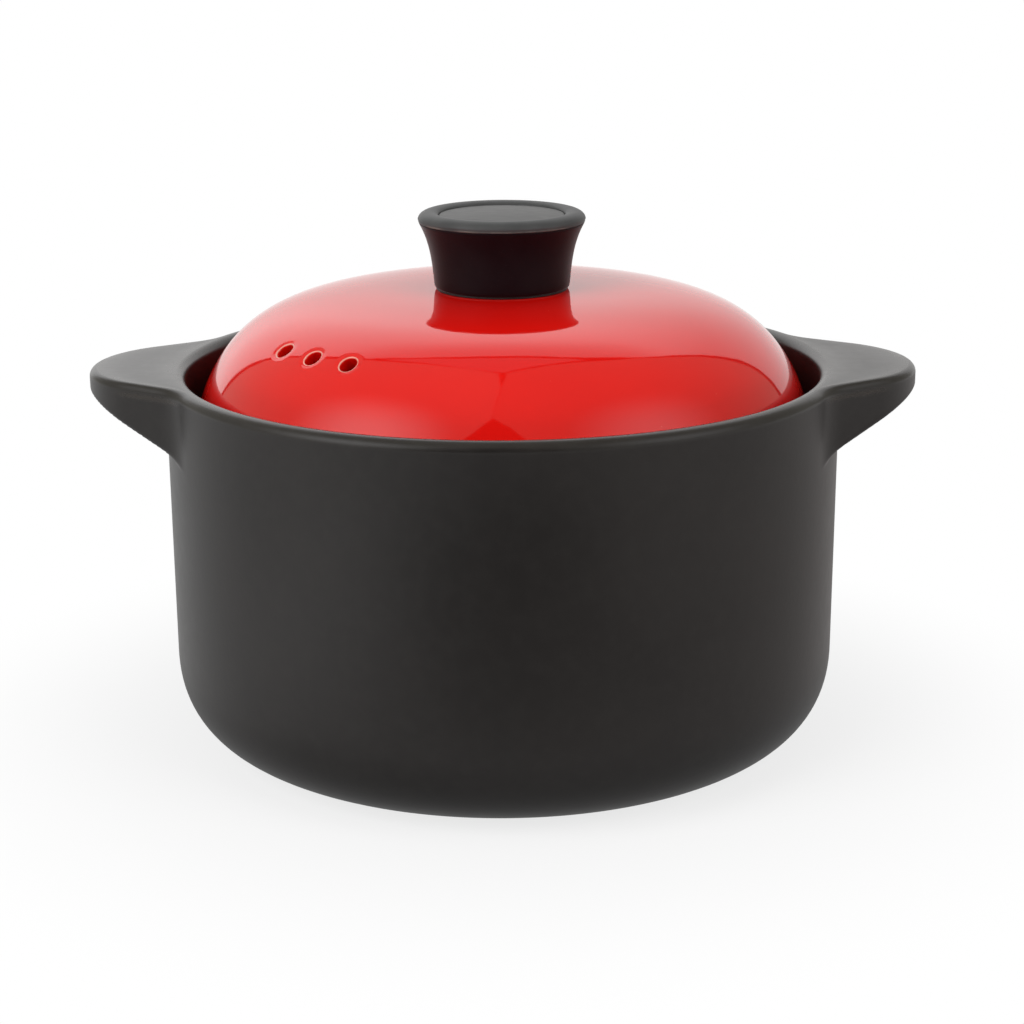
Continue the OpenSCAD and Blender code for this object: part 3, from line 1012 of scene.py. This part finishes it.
def along(finish, start, end):
    """0 at one place and 1 at another, with a smooth step between."""
    spot = finish.node("ShaderNodeTexCoord", output="Object")
    way = end - start
    inputs = {0: finish.node("ShaderNodeVectorMath", {"operation": "SUBTRACT"}, {0: spot, 1: start}),
              1: way / way.length_squared}
    return finish.node("ShaderNodeVectorMath", {"operation": "DOT_PRODUCT"}, inputs, "Value").above(0, 1)


def near(finish, centre, inner, outer):
    """1 closer than inner to a place, 0 further than outer and a smooth step between, in metres."""
    spot = finish.node("ShaderNodeTexCoord", output="Object")
    far = finish.node("ShaderNodeVectorMath", {"operation": "DISTANCE"}, {0: spot, 1: centre}, "Value")
    return 1 - far.above(inner, outer)


def hang(name, rows, material, distance=TENT_R, lights=False):
    """A cloth of the light tent. Each row is a list of directions (azimuth, elevation), and all rows have as
    many. The camera doesn't see it, and it shows in gloss. Only a cloth that lights is also seen by what
    is matt."""
    cells = CLOTH_CELLS
    middle = at(0, 0, 0)
    grid = [[at(azimuth, elevation, 1) - middle for azimuth, elevation in row] for row in rows]
    grid = [[a.lerp(b, i / cells) for a, b in zip(low, high)] for low, high in zip(grid, grid[1:])
            for i in range(cells)] + [grid[-1]]
    grid = [[a.lerp(b, i / cells) for a, b in zip(row, row[1:]) for i in range(cells)] + [row[-1]]
            for row in grid]
    mesh = bmesh.new()
    lines = [[mesh.verts.new(middle + way.normalized() * distance) for way in row] for row in grid]
    for low, high in zip(lines, lines[1:]):
        for i in range(len(low) - 1):
            mesh.faces.new((low[i], low[i + 1], high[i + 1], high[i]))
    cloth = from_mesh(name, mesh)
    dress(cloth, material)
    cloth.visible_camera = False
    cloth.visible_transmission = False
    cloth.visible_shadow = False
    cloth.visible_diffuse = lights


def hang_screen():
    """The cloth behind the pot. It is brighter to the upper left, and dimmer again along its top."""
    cloth = Finish("screen_cloth")
    lit = cloth.mixed(along(cloth, at(92, 11.5, TENT_R), at(105, 26, TENT_R)),
                      cloth.glow(1.05, WARM_WHITE), cloth.glow(1.55))
    lit = cloth.mixed(along(cloth, Vector((0, 0, 1.65)), Vector((0, 0, 2.05))), lit, cloth.glow(0.95))
    hang("back_screen", [[(134, -6), (120, -6), (106, -6), (91, -6), (75, -6), (59, -6), (43, -6)],
                         [(133.5, 20), (120, 20), (106, 20), (91, 20), (75, 20), (59, 20), (42.8, 20)],
                         [(134.8, 42), (120, 44), (106, 45), (91, 45), (75, 45), (59, 44), (44.5, 42)],
                         [(132.5, 55.5), (119.5, 61), (105.5, 63.2), (91, 64), (76, 63.4), (60, 62),
                          (47, 55)]],
         cloth.shown(lit))


def hang_gable():
    """The dimmer cloth above the screen, which narrows to a point overhead."""
    cloth = Finish("gable_cloth")
    hang("gable", [[(131.5, 58), (119, 62.7), (105, 65), (91, 66), (79, 65.5), (66, 64.9), (55.5, 64.6)],
                   [(126, 68.3), (116, 71), (104, 73), (91, 74), (80, 73.5), (71, 72.5), (62, 70.8)],
                   [(121, 76.3), (113, 78), (103, 79), (91, 80), (83, 79.5), (76, 79), (69, 77.2)],
                   [(96, 83.4), (94, 83.5), (92, 83.5), (90, 83.5), (88, 83.5), (86, 83.5), (84, 83.4)]],
         cloth.shown(cloth.glow(0.48)))


def side_cloth(name, spot, reach, bright, dim, tint):
    """A cloth with a bright spot at a direction, which fades over its reach to a dim and tinted glow."""
    cloth = Finish(name)
    return cloth.shown(cloth.mixed(near(cloth, at(*spot, TENT_R), 0.15, reach), cloth.glow(dim, tint),
                                   cloth.glow(bright)))


def hang_sides():
    """The two side walls, which meet in a seam overhead and leave a door open at the front."""
    hang("left_wall", [[(136, -6), (160, -6), (186, -6), (212, -6), (236, -6)],
                       [(135.5, 12), (160, 12), (187, 12), (214, 12), (241, 12)],
                       [(135.5, 30), (160, 32), (190, 33), (219, 31), (246, 26)],
                       [(137, 47), (162, 50), (195, 50), (228, 45), (252, 35)],
                       [(134, 58.5), (160, 63), (202, 64), (238, 55.5), (257, 42)],
                       [(127.5, 69.5), (158, 76), (218, 74), (248, 63.5), (261, 48)],
                       [(98, 84.2), (180, 89.4), (267, 80), (265.5, 67), (264.8, 53.5)]],
         side_cloth("left_cloth", (-146, 28), 1.3, 2.3, 0.58, (1.0, 0.97, 0.86)))
    hang("right_wall", [[(41, -6), (12, -6), (-14, -6), (-40, -6), (-62, -6)],
                        [(41, 12), (12, 12), (-15, 12), (-42, 11), (-66, 10)],
                        [(41.3, 30), (10, 31), (-19, 31), (-46, 27), (-71, 22)],
                        [(43, 47), (12, 49), (-20, 48), (-52, 42), (-77, 32)],
                        [(48.5, 61), (15, 64), (-26, 62), (-62, 54), (-82, 40)],
                        [(60, 72.5), (15, 77.5), (-42, 74), (-72, 63), (-87, 47)],
                        [(82, 84.2), (0, 89.4), (-92, 80), (-94, 67), (-94.8, 53.5)]],
         side_cloth("right_cloth", (-29, 26), 1.25, 1.4, 0.47, (1.0, 0.96, 0.84)))


def hang_room():
    """The dim room round the tent, which shows through its door."""
    wall = Finish("room_wall")
    rows = [[(azimuth, elevation) for azimuth in range(0, 361, 30)] for elevation in (-4, 45, 89.9)]
    hang("room", rows, wall.shown(wall.glow(0.06)), distance=ROOM_R, lights=True)


def white_paper():
    """Straight to the camera the paper shows as white, with a faint shadow near the pot. In gloss it shows
    painted
    light and shade: a painted shadow round the pot and in front of it, a painted pool of light at the front
    left, and a brighter glow far away."""
    paper = Finish("floor")
    middle = Vector((0, 0, 0))
    matt = paper.node("ShaderNodeBsdfDiffuse", None, {"Color": (0.85, 0.85, 0.85, 1)})
    # Painted light and shade that only gloss sees: dimmer and warmer to the right, a painted pool of light
    # at the front left, a painted shadow in front of the pot and round its foot, and brighter paper far
    # away.
    gloss = paper.mixed(along(paper, Vector((0.25, 0, 0)), Vector((-0.25, 0, 0))),
                        paper.glow(0.46, (1.0, 0.95, 0.93)), paper.glow(0.62))
    gloss = paper.mixed(near(paper, Vector((-0.25, -0.17, 0)), 0.03, 0.16), gloss, paper.glow(0.85))
    gloss = paper.mixed(near(paper, Vector((0.03, -0.37, 0)), 0.05, 0.28), gloss, paper.glow(0.12))
    gloss = paper.mixed(near(paper, middle, 0.095, 0.155), gloss, paper.glow(0.34))
    gloss = paper.mixed(near(paper, middle, 0.5, 1.1), paper.glow(1.05, WARM_WHITE), gloss)
    shown = paper.mixed(paper.node("ShaderNodeLightPath", output="Is Glossy Ray"), matt, gloss)
    plain = 1 - 0.22 * near(paper, middle, 0.08, 0.2)
    straight = paper.node("ShaderNodeLightPath", output="Is Camera Ray") * plain
    return paper.shown(paper.mixed(straight, shown, paper.glow(1.0)))


def make_floor():
    """A round sheet of white paper, far wider than the view."""
    mesh = bmesh.new()
    bmesh.ops.create_circle(mesh, cap_ends=True, radius=FLOOR_R, segments=96)
    floor = from_mesh("floor", mesh)
    dress(floor, white_paper())


def make_lamp(name, place, size, power):
    """A round soft lamp that is turned to the lid. It lights and leaves no shine."""
    data = bpy.data.lights.new(name, "AREA")
    data.shape = "DISK"
    data.size = size
    data.energy = power
    lamp = in_scene(name, data)
    lamp.location = place
    lamp.rotation_euler = (at(0, 0, 0) - place).to_track_quat("-Z", "Y").to_euler()
    lamp.visible_glossy = False
    lamp.visible_camera = False


def make_world():
    """Plain white on all sides."""
    world = bpy.data.worlds.new("studio")
    bpy.context.scene.world = world
    world.use_nodes = True
    back = world.node_tree.nodes["Background"]
    back.inputs["Color"].default_value = (1, 1, 1, 1)
    back.inputs["Strength"].default_value = 1.0


bpy.context.scene.view_settings.view_transform = "Standard"
make_camera()
pot = make_pot()
lid = make_lid()
knob = make_knob_body()
ring = make_grip_ring()
plate = make_top_plate()
gasket = make_washer("knob_pad", GASKET_LOW, GASKET_HIGH, LID_HOLE_R, PAD_ROUND,
                     "lid_pad", "knob_gasket")
seal = make_washer("inner_silicone_washer", SEAL_LOW, SEAL_HIGH, SCREW_R + SCREW_PLAY, SEAL_ROUND,
                   "lid", "inner_seal")
washer = make_washer("steel_washer", WASHER_LOW, WASHER_HIGH, SCREW_R + SCREW_PLAY, WASHER_ROUND,
                     "lid", "screw_washer")

dress(pot, charcoal_glaze())
dress(lid, red_glaze())
dress(knob, maroon_plastic())
dress(ring, soft_grey())
dress(plate, satin_plate())
dress(gasket, silicone("black_silicone", (0.012, 0.012, 0.012), (0.022, 0.021, 0.021)))
dress(seal, silicone("grey_silicone", (0.30, 0.30, 0.29), (0.40, 0.40, 0.38)))
steel = turned_metal("bright_steel", (0.62, 0.62, 0.63), 0.28)
dress(washer, steel)
recover("knob_screw", steel)
recover("knob_insert", turned_metal("brass", (0.75, 0.52, 0.20), 0.3))

make_floor()
hang_screen()
hang_gable()
hang_sides()
hang_room()
make_lamp("left_lamp", at(-138, 34, SIDE_LAMP_R), SIDE_LAMP_SIZE, LEFT_LAMP)
make_lamp("right_lamp", at(-38, 32, SIDE_LAMP_R), SIDE_LAMP_SIZE, RIGHT_LAMP)
make_lamp("top_lamp", at(0, 90, TOP_LAMP_R), TOP_LAMP_SIZE, TOP_LAMP)
make_world()
